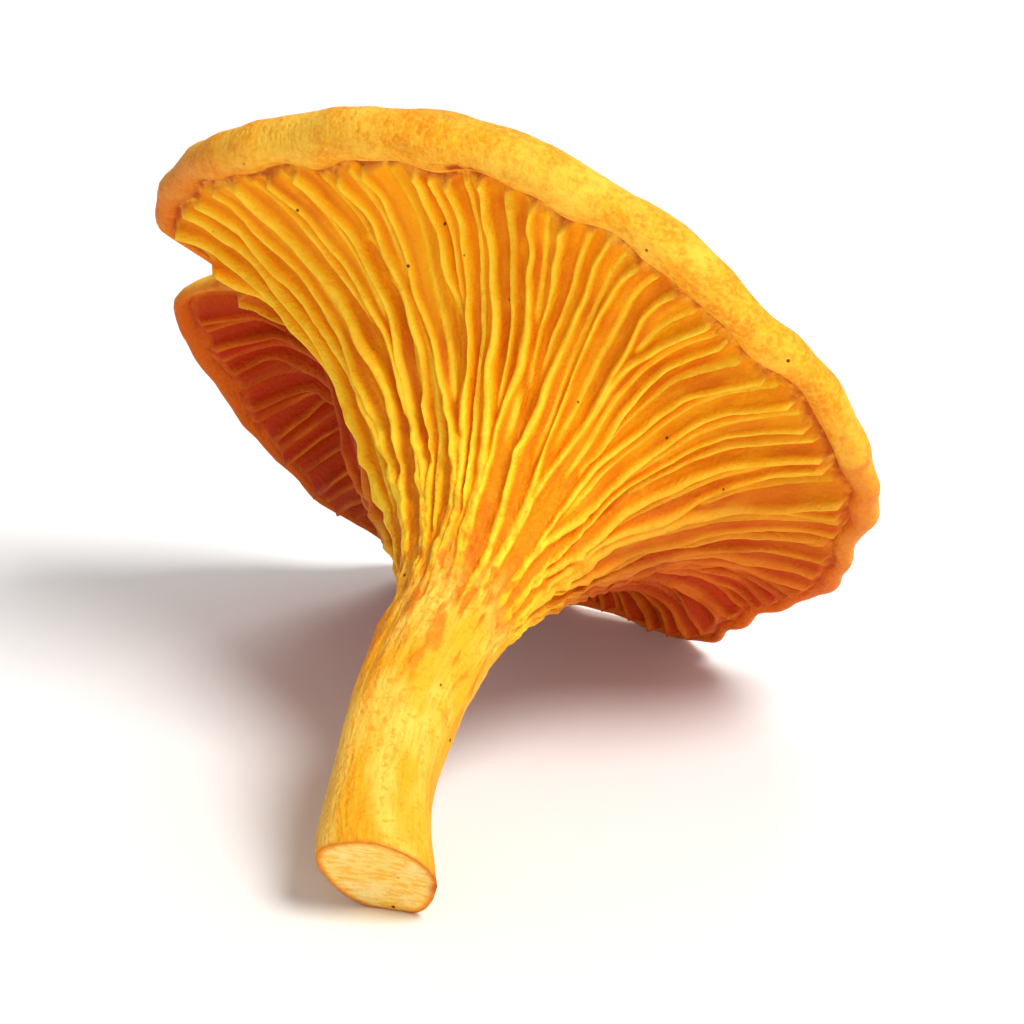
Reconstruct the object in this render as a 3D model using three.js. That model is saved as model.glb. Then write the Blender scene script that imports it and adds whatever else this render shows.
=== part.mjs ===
// A chanterelle mushroom lying on its side.
// The rim of its cut stem and two lobes of the cap's lower edge rest on the ground.
// Millimetres, +Z up. The front, towards -Y, shows the underside of the cap and the stem's cut end.
import * as THREE from 'three';

// The cap: a funnel whose top faces away from the front and up.
const CAP_TURN_DEG = 30.9;
const CAP_TIP_DEG = 29.9;
const CAP_CENTRE = new THREE.Vector3(-0.05, 11.32, 7.38);
const FUNNEL_DEPTH = 9.0;
const FUNNEL_SHIFT = new THREE.Vector3(0.3, -0.61, -1.37);
const FUNNEL_FLOOR_REACH = 9.0;
const CAP_SHOULDER_REACH = 12.0;
const SHOULDER_LIFT_SHARE = 0.55;
const SHOULDER_DROP = 0.3;
const EDGE_TUCK_DEG = 35.0;
const EDGE_ROLL_ENDS_DEG = 450.0;

// The stem: a curved stalk, cut across at the foot.
const FOOT_CENTRE = new THREE.Vector3(-10.7, -29.11, -18.67);
const FOOT_DIRECTION = new THREE.Vector3(-0.1, 0.8543, 0.5173).normalize();
const CUT_FACING = new THREE.Vector3(-0.27, -0.8463, -0.4551).normalize();
const FOOT_RADIUS = 4.35;
const FOOT_FLARE = 0.25;
const NECK_CENTRE = new THREE.Vector3(-5.7, -9.285, -6.594);
const NECK_DIRECTION = new THREE.Vector3(0.45, 0.7496, 0.4544).normalize();
const NECK_RADIUS = 4.75;
const CUT_DISH = 0.35;

// The cap's edge every 30 degrees round its axis, counter-clockwise as seen from the stem.
// Each row: reach from the axis, rise along the axis, radius of the rolled edge,
// how far the underside follows the stem, how far it follows the edge, and its slope at the edge in degrees.
const EDGE = [
  [33.0, 0.2, 1.7, 7.0, 18.0, -13.0],
  [32.4, 0.5, 2.0, 9.5, 15.0, 3.0],
  [32.0, 0.5, 2.2, 11.0, 13.0, 11.0],
  [31.5, 0.5, 2.3, 11.0, 13.0, 12.0],
  [32.0, -0.5, 2.2, 11.0, 13.0, 11.0],
  [33.2, 0.0, 1.7, 8.5, 13.0, 9.0],
  [33.8, -0.5, 1.3, 7.0, 13.0, 6.0],
  [34.8, -1.0, 1.1, 7.5, 12.0, 10.0],
  [36.9, 1.0, 1.0, 9.0, 12.0, 14.0],
  [34.0, 1.0, 1.0, 11.0, 12.0, 18.0],
  [31.3, 0.6, 1.0, 10.0, 11.0, 18.0],
  [33.0, 0.2, 1.3, 6.5, 17.0, -13.0],
];
const REACH = 0;
const RISE = 1;
const ROLL = 2;
const STEM_PULL = 3;
const EDGE_PULL = 4;
const EDGE_SLOPE = 5;
const THICK_ROLL = 2.4;
const THIN_ROLL = 1.0;

// Lobes and the notch of the edge: angle, half width, extra reach, extra rise.
// The first two touch the ground, and the third is the notch.
const LOBES = [
  [246.0, 22.0, 3.5, 1.0],
  [281.0, 17.0, 3.3, 0.2],
  [171.0, 10.0, -6.5, 0.6],
];
const GROUND_LEVEL = -22.6;

// Behind the notch the cap folds back along its axis: how far, between which angles, and at what reach.
const FOLD_DEPTH = 5.0;
const FOLD_BEGINS_DEG = 172.0;
const FOLD_FULL_FROM_DEG = 186.0;
const FOLD_FULL_TO_DEG = 206.0;
const FOLD_ENDS_DEG = 238.0;
const FOLD_BEGINS_REACH = 7.0;
const FOLD_FULL_FROM_REACH = 19.0;
const FOLD_FULL_TO_REACH = 25.0;
const FOLD_ENDS_REACH = 35.0;

// Waves round the cap or the stem. Each row: height, waves in a turn, phase, and drift along the surface.
const EDGE_WAVES_IN_OUT = [
  [0.45, 5, 0.7, 0],
  [0.32, 8, 2.1, 0],
  [0.22, 13, 4.0, 0],
  [0.14, 21, 1.2, 0],
];
const EDGE_WAVES_UP_DOWN = [
  [0.4, 4, 2.9, 0],
  [0.3, 7, 0.4, 0],
  [0.22, 11, 5.1, 0],
];
const FUNNEL_WAVES = [
  [0.55, 3, 0.5, 2],
  [0.35, 5, 2.0, -3],
  [0.25, 9, 1.0, 5],
];
const STEM_WAVES = [
  [0.14, 3, 0.0, 4],
  [0.09, 5, 1.0, -7],
];

// The ridges under the cap: thin folds that fork on their way from the stem to the edge.
const RIDGES = 60;
const RIDGE_HEIGHT = 1.45;
const RIDGE_HALF_WIDTH = 0.48;
const RIDGE_ROOT_HALF_WIDTH = 0.4;
const RIDGE_APART_WHEN_JOINED = 0.24;
const RIDGES_WIDEST_DEG = 100.0;
const RIDGE_SPACING_CHANGE = 0.28;
const FORK_LENGTH = 0.3;
const LATE_RIDGE_SHARE = 0.2;

// How finely each surface is cut into rows and columns.
const UNDERSIDE_ROWS = 22;
const EDGE_COLUMNS = 72;
const EDGE_ROWS = 5;
const TOP_ROWS = 8;
const STEM_COLUMNS = 40;
const STEM_ROWS = 12;

const TURN = Math.PI * 2;
const DEGREE = Math.PI / 180;

function smooth(from, to, value) {
  const t = Math.min(Math.max((value - from) / (to - from), 0), 1);
  return t * t * (3 - 2 * t);
}

function scatter(i, k) {
  const x = Math.sin(i * 12.9898 + k * 78.233) * 43758.5453;
  return x - Math.floor(x);
}

// The cap's own directions: its axis, and the two directions that span its rim.
const CAP_AXIS = new THREE.Vector3(
  Math.sin(CAP_TURN_DEG * DEGREE) * Math.cos(CAP_TIP_DEG * DEGREE),
  Math.cos(CAP_TURN_DEG * DEGREE) * Math.cos(CAP_TIP_DEG * DEGREE),
  Math.sin(CAP_TIP_DEG * DEGREE),
);
const CAP_RIGHT = new THREE.Vector3().crossVectors(CAP_AXIS, new THREE.Vector3(0, 0, 1)).normalize();
const CAP_UP = new THREE.Vector3().crossVectors(CAP_RIGHT, CAP_AXIS);

function turnedWith(direction, from, to) {
  return direction.clone().applyQuaternion(new THREE.Quaternion().setFromUnitVectors(from, to));
}
const NECK_RIGHT = turnedWith(CAP_RIGHT, CAP_AXIS, NECK_DIRECTION);
const NECK_UP = turnedWith(CAP_UP, CAP_AXIS, NECK_DIRECTION);
const FOOT_RIGHT = turnedWith(CAP_RIGHT, CAP_AXIS, FOOT_DIRECTION);
const FOOT_UP = turnedWith(CAP_UP, CAP_AXIS, FOOT_DIRECTION);

function along(origin, ...pairs) {
  const point = origin.clone();
  for (const [direction, length] of pairs) {
    point.addScaledVector(direction, length);
  }
  return point;
}

function outward(angle) {
  return along(new THREE.Vector3(), [CAP_RIGHT, Math.cos(angle)], [CAP_UP, Math.sin(angle)]);
}

function curve(a, b, c, d, t) {
  const s = 1 - t;
  const point = a.clone().multiplyScalar(s * s * s);
  point.addScaledVector(b, 3 * s * s * t);
  point.addScaledVector(c, 3 * s * t * t);
  point.addScaledVector(d, t * t * t);
  return point;
}

// A smooth closed curve through one column of the edge table.
function edgeValue(angle, column) {
  const n = EDGE.length;
  const place = ((((angle / TURN) * n) % n) + n) % n;
  const i = Math.floor(place);
  const f = place - i;
  const a = EDGE[(i + n - 1) % n][column];
  const b = EDGE[i % n][column];
  const c = EDGE[(i + 1) % n][column];
  const d = EDGE[(i + 2) % n][column];
  const cubic = 3 * b - a - 3 * c + d;
  const square = 2 * a - 5 * b + 4 * c - d;
  return 0.5 * (2 * b + (c - a) * f + square * f * f + cubic * f * f * f);
}

function waves(table, angle, way) {
  let height = 0;
  for (const [high, count, phase, drift] of table) {
    height += high * Math.sin(count * angle + phase + drift * way);
  }
  return height;
}

// The edge's reach, rise and roll at an angle, with its waves, its lobes and the notch.
// A thin edge waves more than a thick one.
function edgeAt(angle) {
  const roll = edgeValue(angle, ROLL);
  const thin = Math.min(Math.max((THICK_ROLL - roll) / (THICK_ROLL - THIN_ROLL), 0), 1);
  let reach = edgeValue(angle, REACH) + waves(EDGE_WAVES_IN_OUT, angle, 0) * (0.5 + 0.7 * thin);
  let rise = edgeValue(angle, RISE) + waves(EDGE_WAVES_UP_DOWN, angle, 0) * (0.6 + 0.8 * thin);
  for (const [lobeAngle, halfWidth, moreReach, moreRise] of LOBES) {
    const away = Math.abs(Math.atan2(Math.sin(angle - lobeAngle * DEGREE), Math.cos(angle - lobeAngle * DEGREE)));
    const share = 1 - smooth(0, halfWidth * DEGREE, away);
    reach += moreReach * share;
    rise += moreRise * share;
  }
  return { reach, rise, roll };
}

// Pushes a point of the cap back along the axis where the cap folds behind the notch.
function folded(point) {
  const away = point.clone().sub(CAP_CENTRE);
  const across = away.dot(CAP_RIGHT);
  const upward = away.dot(CAP_UP);
  const angle = (Math.atan2(upward, across) / DEGREE + 360) % 360;
  const reach = Math.hypot(across, upward);
  const begin = smooth(FOLD_BEGINS_DEG, FOLD_FULL_FROM_DEG, angle);
  const end = 1 - smooth(FOLD_FULL_TO_DEG, FOLD_ENDS_DEG, angle);
  const out = smooth(FOLD_BEGINS_REACH, FOLD_FULL_FROM_REACH, reach);
  const back = 1 - smooth(FOLD_FULL_TO_REACH, FOLD_ENDS_REACH, reach);
  return point.addScaledVector(CAP_AXIS, FOLD_DEPTH * begin * end * out * back);
}

// The smooth underside, from the neck of the stem at 0 to the edge at 1.
function undersideAt(angle, s) {
  const edge = edgeAt(angle);
  const out = outward(angle);
  const tuck = EDGE_TUCK_DEG * DEGREE;
  const slope = edgeValue(angle, EDGE_SLOPE) * DEGREE;
  const pull = edgeValue(angle, EDGE_PULL);
  const start = along(
    NECK_CENTRE,
    [NECK_RIGHT, NECK_RADIUS * Math.cos(angle)],
    [NECK_UP, NECK_RADIUS * Math.sin(angle)],
  );
  const end = along(
    CAP_CENTRE,
    [out, edge.reach - edge.roll - edge.roll * Math.cos(tuck)],
    [CAP_AXIS, edge.rise - edge.roll * Math.sin(tuck)],
  );
  const leave = along(start, [NECK_DIRECTION, edgeValue(angle, STEM_PULL)]);
  const arrive = along(end, [out, -pull * Math.cos(slope)], [CAP_AXIS, pull * Math.sin(slope)]);
  return folded(curve(start, leave, arrive, end, s));
}

// The rolled edge, from the end of the underside at 0 round to the cap's top at 1.
function rollAt(angle, q) {
  const edge = edgeAt(angle);
  const from = 180 + EDGE_TUCK_DEG;
  const round = (from + (EDGE_ROLL_ENDS_DEG - from) * q) * DEGREE;
  const point = along(
    CAP_CENTRE,
    [outward(angle), edge.reach - edge.roll + edge.roll * Math.cos(round)],
    [CAP_AXIS, edge.rise + edge.roll * Math.sin(round)],
  );
  return folded(point);
}

// The funnel-shaped top, from the rolled edge at 0 to the bottom of the funnel at 1.
function topAt(angle, q) {
  const edge = edgeAt(angle);
  const out = outward(angle);
  const slope = Math.max(Math.sin(edgeValue(angle, EDGE_SLOPE) * DEGREE), 0);
  const lift = slope * CAP_SHOULDER_REACH * SHOULDER_LIFT_SHARE - SHOULDER_DROP;
  const start = along(CAP_CENTRE, [out, edge.reach - edge.roll], [CAP_AXIS, edge.rise + edge.roll]);
  const shoulder = along(start, [out, -CAP_SHOULDER_REACH], [CAP_AXIS, lift]);
  const bottom = along(CAP_CENTRE, [CAP_AXIS, -FUNNEL_DEPTH]).add(FUNNEL_SHIFT);
  const floor = along(bottom, [out, FUNNEL_FLOOR_REACH]);
  const swell = 4 * q * (1 - q) * (1 - q);
  const lumps = waves(FUNNEL_WAVES, angle, q) * swell;
  return folded(along(curve(start, shoulder, floor, bottom, q), [CAP_AXIS, lumps]));
}

// The stem's skin, from the cut foot at 0 to the neck at 1.
function stemAt(angle, t) {
  const third = NECK_CENTRE.distanceTo(FOOT_CENTRE) / 3;
  const centre = curve(
    FOOT_CENTRE,
    along(FOOT_CENTRE, [FOOT_DIRECTION, third]),
    along(NECK_CENTRE, [NECK_DIRECTION, -third]),
    NECK_CENTRE,
    t,
  );
  const blend = smooth(0, 1, t);
  const right = FOOT_RIGHT.clone().lerp(NECK_RIGHT, blend);
  const up = FOOT_UP.clone().lerp(NECK_UP, blend);
  const lumps = waves(STEM_WAVES, angle, t) * (1 - smooth(0.8, 1, t));
  const flare = FOOT_FLARE * (1 - smooth(0, 0.3, t));
  const radius = FOOT_RADIUS + (NECK_RADIUS - FOOT_RADIUS) * smooth(0.3, 1, t) + flare + lumps;
  const offset = along(new THREE.Vector3(), [right, radius * Math.cos(angle)], [up, radius * Math.sin(angle)]);
  const slide = -offset.dot(CUT_FACING) / FOOT_DIRECTION.dot(CUT_FACING);
  return centre.add(offset).addScaledVector(FOOT_DIRECTION, slide * (1 - smooth(0, 0.45, t)));
}

// How many ridges grow from each fold at the neck.
function familySizes() {
  const sizes = [];
  let left = RIDGES;
  for (let k = 0; left > 0; k += 1) {
    const h = scatter(k, 1);
    let size = 4;
    if (h < 0.85) size = 3;
    if (h < 0.5) size = 2;
    if (h < 0.1) size = 1;
    size = Math.min(size, left);
    sizes.push(size);
    left -= size;
  }
  return sizes;
}

// Spreads even angles so that the ridges stand widest apart at one side of the cap.
function spreadAngle(angle) {
  const widest = RIDGES_WIDEST_DEG * DEGREE;
  return angle + RIDGE_SPACING_CHANGE * (Math.sin(angle - widest) + Math.sin(widest));
}

function edgeAngleOf(ridge) {
  return spreadAngle(((ridge + 0.5 + 0.5 * (scatter(ridge, 2) - 0.5)) / RIDGES) * TURN);
}

function meanAngle(first, count) {
  let sum = 0;
  for (let i = first; i < first + count; i += 1) {
    sum += edgeAngleOf(i);
  }
  return sum / count;
}

// Splits a bundle of ridges into two at a fork, and each of those again, down to single ridges.
function forkBundle(first, count, from, turns, ridges) {
  if (count === 1) {
    ridges[first].turns = turns;
    return;
  }
  const left = 1 + Math.floor(scatter(first, count) * (count - 1));
  const at = from + 0.08 + 0.3 * scatter(first + 0.5, count + 10);
  const middle = meanAngle(first, count);
  const halves = [
    [first, left],
    [first + left, count - left],
  ];
  for (const [start, size] of halves) {
    const turn = { at, by: meanAngle(start, size) - middle };
    forkBundle(start, size, at + 0.05, [...turns, turn], ridges);
  }
}

function makeRidges() {
  const ridges = [];
  for (let i = 0; i < RIDGES; i += 1) {
    ridges.push({ turns: [], wave: scatter(i, 5) * TURN, late: 0 });
  }
  const sizes = familySizes();
  let first = 0;
  sizes.forEach((size, family) => {
    const middle = meanAngle(first, size);
    const even = spreadAngle(((family + 0.5) / sizes.length) * TURN);
    const start = 0.04 + 0.14 * scatter(family, 6);
    const wave = scatter(family, 7) * TURN;
    for (let i = first; i < first + size; i += 1) {
      const rank = i - first - (size - 1) / 2;
      Object.assign(ridges[i], { root: middle, even, start, rank, wave });
      if (size > 1 && scatter(i, 8) < LATE_RIDGE_SHARE) ridges[i].late = 0.42 + 0.2 * scatter(i, 9);
    }
    forkBundle(first, size, 0.02, [], ridges);
    first += size;
  });
  return ridges;
}
const RIDGE_LINES = makeRidges();

// Millimetres of skin per radian round the underside.
function girth(angle, s) {
  const step = 1e-3;
  return undersideAt(angle + step, s).distanceTo(undersideAt(angle - step, s)) / (2 * step);
}

// Where a ridge runs at a height s, as an angle, and how high it stands there.
function ridgeAt(ridge, s) {
  let angle = ridge.root + (ridge.even - ridge.root) * 0.6 * (1 - smooth(0, 0.55, s));
  for (const turn of ridge.turns) {
    angle += turn.by * smooth(turn.at, Math.min(turn.at + FORK_LENGTH, 1.02), s);
  }
  const size = girth(angle, s);
  const sway = 0.2 * Math.sin(9 * s + ridge.wave) + 0.1 * Math.sin(23 * s + 2 * ridge.wave);
  angle += (sway * (1 - smooth(0.8, 1, s)) + ridge.rank * RIDGE_APART_WHEN_JOINED) / size;
  const rise = smooth(0, ridge.start + 0.02, s) * (0.22 + 0.78 * smooth(0.1, 0.5, s));
  const late = ridge.late > 0 ? smooth(ridge.late, ridge.late + 0.12, s) : 1;
  const height = RIDGE_HEIGHT * rise * late * (1 - smooth(0.96, 1, s));
  return { angle, height, size };
}

// The height of the ridges at an angle, among the ridges of one row.
function reliefAt(row, angle, near) {
  let height = 0;
  for (let k = near - 3; k <= near + 3; k += 1) {
    const ridge = row.ridges[(k + RIDGES) % RIDGES];
    const away = Math.atan2(Math.sin(angle - ridge.angle), Math.cos(angle - ridge.angle));
    const share = 1 - (Math.abs(away) * ridge.size) / row.halfWidth;
    height = Math.max(height, ridge.height * Math.max(share, 0));
  }
  return height;
}

// One row of the underside: each ridge gives a crest and the two feet beside it.
function undersideRow(s) {
  const halfWidth = RIDGE_ROOT_HALF_WIDTH + (RIDGE_HALF_WIDTH - RIDGE_ROOT_HALF_WIDTH) * smooth(0, 0.3, s);
  const row = { ridges: RIDGE_LINES.map((ridge) => ridgeAt(ridge, s)), halfWidth };
  const points = [];
  const angles = [];
  row.ridges.forEach((ridge, i) => {
    const before = row.ridges[(i + RIDGES - 1) % RIDGES].angle - (i === 0 ? TURN : 0);
    const after = row.ridges[(i + 1) % RIDGES].angle + (i === RIDGES - 1 ? TURN : 0);
    const foot = halfWidth / ridge.size;
    const left = Math.min(foot, (ridge.angle - before) * 0.42);
    const right = Math.min(foot, (after - ridge.angle) * 0.42);
    for (const angle of [ridge.angle - left, ridge.angle, ridge.angle + right]) {
      angles.push(angle);
      points.push(liftedUnderside(angle, s, reliefAt(row, angle, i)));
    }
  });
  return { points, angles };
}

function liftedUnderside(angle, s, height) {
  const step = 1e-3;
  const point = undersideAt(angle, s);
  const round = undersideAt(angle + step, s).sub(undersideAt(angle - step, s));
  const up = undersideAt(angle, Math.min(s + step, 1)).sub(undersideAt(angle, Math.max(s - step, 0)));
  const normal = new THREE.Vector3().crossVectors(up, round).normalize();
  return point.addScaledVector(normal, height);
}

function evenRing(columns, place) {
  const points = [];
  const angles = [];
  for (let i = 0; i < columns; i += 1) {
    const angle = (i / columns) * TURN;
    angles.push(angle);
    points.push(place(angle));
  }
  return { points, angles };
}

// A closed skin made of rings of points.
class Skin {
  constructor() {
    this.places = [];
    this.faces = [];
  }

  ring({ points, angles }) {
    const ids = points.map((point) => {
      point.z = Math.max(point.z, GROUND_LEVEL);
      this.places.push(point);
      return this.places.length - 1;
    });
    return { ids, angles };
  }

  // Two rings with the same columns.
  strip(lower, upper) {
    const n = lower.ids.length;
    for (let i = 0; i < n; i += 1) {
      const j = (i + 1) % n;
      const [a, b, c, d] = [lower.ids[i], lower.ids[j], upper.ids[j], upper.ids[i]];
      const straight = this.places[a].distanceTo(this.places[c]) < this.places[b].distanceTo(this.places[d]);
      if (straight) this.faces.push([a, c, b], [a, d, c]);
      else this.faces.push([a, d, b], [b, d, c]);
    }
  }

  // Two rings with different columns, joined like a zip in the order of their angles.
  zip(lower, upper) {
    const [n, m] = [lower.ids.length, upper.ids.length];
    let i = 0;
    let j = 0;
    while (i < n || j < m) {
      const nextLower = i < n ? lower.angles[(i + 1) % n] + (i + 1 >= n ? TURN : 0) : Infinity;
      const nextUpper = j < m ? upper.angles[(j + 1) % m] + (j + 1 >= m ? TURN : 0) : Infinity;
      const [a, d] = [lower.ids[i % n], upper.ids[j % m]];
      if (nextLower <= nextUpper) {
        this.faces.push([a, d, lower.ids[(i + 1) % n]]);
        i += 1;
      } else {
        this.faces.push([a, d, upper.ids[(j + 1) % m]]);
        j += 1;
      }
    }
  }

  // Closes a ring on one middle point; the ring is the lower or the upper side of the join.
  close(ring, point, ringIsLower) {
    point.z = Math.max(point.z, GROUND_LEVEL);
    this.places.push(point);
    const middle = this.places.length - 1;
    const n = ring.ids.length;
    for (let i = 0; i < n; i += 1) {
      const [a, b] = [ring.ids[i], ring.ids[(i + 1) % n]];
      this.faces.push(ringIsLower ? [a, middle, b] : [b, middle, a]);
    }
  }

  geometry() {
    const box = new THREE.Box3().setFromPoints(this.places);
    const middle = box.getCenter(new THREE.Vector3());
    const shift = new THREE.Vector3(-middle.x, -middle.y, -box.min.z);
    const numbers = [];
    for (const place of this.places) {
      const moved = place.clone().add(shift);
      numbers.push(moved.x, moved.y, moved.z);
    }
    const geometry = new THREE.BufferGeometry();
    geometry.setAttribute('position', new THREE.Float32BufferAttribute(numbers, 3));
    geometry.setIndex(this.faces.flat());
    geometry.computeVertexNormals();
    return geometry;
  }
}

function mushroomSkin() {
  const skin = new Skin();

  // The stem, from the cut end up to the neck.
  const cutRing = skin.ring(evenRing(STEM_COLUMNS, (angle) => stemAt(angle, 0)));
  const dish = skin.ring(
    evenRing(STEM_COLUMNS / 2, (angle) => {
      const point = stemAt(angle, 0).sub(FOOT_CENTRE).multiplyScalar(0.6).add(FOOT_CENTRE);
      return point.addScaledVector(CUT_FACING, -CUT_DISH * 0.7);
    }),
  );
  skin.close(dish, along(FOOT_CENTRE, [CUT_FACING, -CUT_DISH]), false);
  skin.zip(dish, cutRing);
  let below = cutRing;
  for (let row = 1; row <= STEM_ROWS; row += 1) {
    const t = (row / STEM_ROWS) * 0.95;
    const ring = skin.ring(evenRing(STEM_COLUMNS, (angle) => stemAt(angle, t)));
    skin.strip(below, ring);
    below = ring;
  }

  // The underside with its ridges.
  const neck = skin.ring(undersideRow(0));
  skin.zip(below, neck);
  below = neck;
  for (let row = 1; row <= UNDERSIDE_ROWS; row += 1) {
    const s = (row / UNDERSIDE_ROWS) * 0.985;
    const ring = skin.ring(undersideRow(s));
    skin.strip(below, ring);
    below = ring;
  }

  // The rolled edge.
  const rollStart = skin.ring(evenRing(EDGE_COLUMNS, (angle) => rollAt(angle, 0)));
  skin.zip(below, rollStart);
  below = rollStart;
  for (let row = 1; row <= EDGE_ROWS; row += 1) {
    const ring = skin.ring(evenRing(EDGE_COLUMNS, (angle) => rollAt(angle, row / EDGE_ROWS)));
    skin.strip(below, ring);
    below = ring;
  }

  // The top, down into the funnel.
  for (let row = 1; row < TOP_ROWS; row += 1) {
    const q = row / TOP_ROWS;
    const columns = q > 0.8 ? EDGE_COLUMNS / 4 : q > 0.6 ? EDGE_COLUMNS / 2 : EDGE_COLUMNS;
    const ring = skin.ring(evenRing(columns, (angle) => topAt(angle, q)));
    if (columns === below.ids.length) skin.strip(below, ring);
    else skin.zip(below, ring);
    below = ring;
  }
  skin.close(below, topAt(0, 1), true);
  return skin;
}

const FLESH = new THREE.MeshStandardMaterial({ name: 'flesh', color: 0xe9962a, roughness: 0.62, metalness: 0 });
const mushroom = new THREE.Mesh(mushroomSkin().geometry(), FLESH);
mushroom.name = 'chanterelle';

const part = new THREE.Group();
part.name = 'chanterelle_mushroom';
part.add(mushroom);
export default part;
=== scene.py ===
"""Dresses a fresh chanterelle mushroom that lies on its side on a pale studio floor.

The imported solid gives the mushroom's place and size. Here its skin is built again from the same
driving dimensions, finer, with forking ridges, cross veins, a ragged rolled edge and a fibrous stem.
Lengths inside the classes are millimetres; everything that reaches the scene is in metres.
"""

import logging
import math
from dataclasses import dataclass, field
from enum import Enum

import bpy
import numpy as np
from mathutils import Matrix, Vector


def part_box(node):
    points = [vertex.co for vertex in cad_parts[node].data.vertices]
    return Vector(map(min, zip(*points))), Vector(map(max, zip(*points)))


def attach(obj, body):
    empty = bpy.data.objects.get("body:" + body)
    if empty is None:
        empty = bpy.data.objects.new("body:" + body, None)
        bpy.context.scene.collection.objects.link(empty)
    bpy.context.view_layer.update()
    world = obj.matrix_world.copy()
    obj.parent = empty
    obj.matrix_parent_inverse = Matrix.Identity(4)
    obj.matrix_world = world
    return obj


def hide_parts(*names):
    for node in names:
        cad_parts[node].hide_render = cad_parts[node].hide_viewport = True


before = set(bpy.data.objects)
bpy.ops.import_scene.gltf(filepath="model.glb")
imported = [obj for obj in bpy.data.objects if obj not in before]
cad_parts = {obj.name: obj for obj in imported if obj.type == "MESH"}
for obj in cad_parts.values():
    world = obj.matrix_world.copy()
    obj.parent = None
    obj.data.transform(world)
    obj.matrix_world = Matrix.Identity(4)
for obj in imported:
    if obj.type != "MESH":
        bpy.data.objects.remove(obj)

LOG = logging.getLogger("mushroom")
MM = 0.001
TURN = 2.0 * math.pi
BODY = "root"
NODE = "chanterelle"

Colour = tuple[float, float, float, float]
Ring = tuple[np.ndarray, np.ndarray]
Waves = tuple[tuple[float, ...], ...]

# Waves by height, waves per turn or per length, and phase.
# Some also say how far they move with a second value.
EDGE_WAVES_IN_OUT: Waves = ((0.45, 5, 0.7), (0.32, 8, 2.1), (0.22, 13, 4.0), (0.14, 21, 1.2))
EDGE_WAVES_UP_DOWN: Waves = ((0.4, 4, 2.9), (0.3, 7, 0.4), (0.22, 11, 5.1))
EDGE_NICKS: Waves = ((0.10, 34, 0.4), (0.09, 47, 2.2))
ROLL_SWELLS: Waves = ((0.07, 17, 0.8), (0.05, 29, 2.0))
FUNNEL_WAVES: Waves = ((0.55, 3, 0.5, 2), (0.35, 5, 2.0, -3), (0.25, 9, 1.0, 5))
STEM_WAVES: Waves = ((0.14, 3, 0.0, 4), (0.09, 5, 1.0, -7))
FAMILY_SWAY: Waves = ((0.2, 9, 0.0, 1), (0.1, 23, 0.0, 2))
RIDGE_SWAY: Waves = ((0.045, 37, 0.0, 1), (0.02, 71, 0.0, 2))
CREST_SWELLS: Waves = ((0.10, 19, 0.0, 3), (0.07, 37, 0.0, 1))
STALK_BORDER: Waves = ((0.03, 7, 0.0), (0.02, 19, 0.0))
CREST_KNOBS: Waves = ((0.16, 83, 0.0, 5), (0.10, 131, 0.0, 7))


def waves(table: Waves, place: np.ndarray, other: np.ndarray | float = 0.0) -> np.ndarray:
    """Return the sum of a table's waves at each place, moved along with a second value."""
    total = 0.0
    for height, count, phase, *moves in table:
        total = total + height * np.sin(count * place + phase + sum(moves) * other)
    return total


def smooth(start: float, end: float, value: np.ndarray | float) -> np.ndarray:
    """Ease from 0 at the start to 1 at the end, and hold beyond them."""
    t = np.clip((np.asarray(value, float) - start) / (end - start), 0.0, 1.0)
    return t * t * (3.0 - 2.0 * t)


def scatter(i: float, k: float) -> float:
    """Return a repeatable number between 0 and 1 for a pair of indices."""
    x = math.sin(i * 12.9898 + k * 78.233) * 43758.5453
    return x - math.floor(x)


def draws(numbers: np.ndarray, k: float) -> np.ndarray:
    """Return one repeatable number between 0 and 1 for each of many indices."""
    return np.array([scatter(i, k) for i in numbers])


def unit(vector: tuple[float, float, float] | np.ndarray) -> np.ndarray:
    """Return a vector of length one in the given direction."""
    v = np.asarray(vector, float)
    return v / np.linalg.norm(v)


def turned_with(direction: np.ndarray, start: np.ndarray, end: np.ndarray) -> np.ndarray:
    """Turn a direction by the shortest turn that takes the unit vector start to end."""
    spin = np.cross(start, end)
    cosine = float(start @ end)
    return direction * cosine + np.cross(spin, direction) + spin * (spin @ direction) / (1.0 + cosine)


def curve(a: np.ndarray, b: np.ndarray, c: np.ndarray, d: np.ndarray, t: np.ndarray) -> np.ndarray:
    """Return points on cubic curves given by four control points each."""
    t = np.asarray(t, float)[..., None]
    s = 1.0 - t
    return s**3 * a + 3.0 * s * s * t * b + 3.0 * s * t * t * c + t**3 * d


def linear(red: int, green: int, blue: int) -> Colour:
    """Return the scene-linear colour of a screen colour given in 0 to 255."""
    parts = [v / 255.0 for v in (red, green, blue)]
    line = [v / 12.92 if v <= 0.04045 else ((v + 0.055) / 1.055) ** 2.4 for v in parts]
    return (line[0], line[1], line[2], 1.0)


class Zone(Enum):
    """The kinds of surface besides the ridges, by the mark that masks each."""

    CROWN = "crown"
    STALK = "stalk"
    CUT = "cut"


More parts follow.
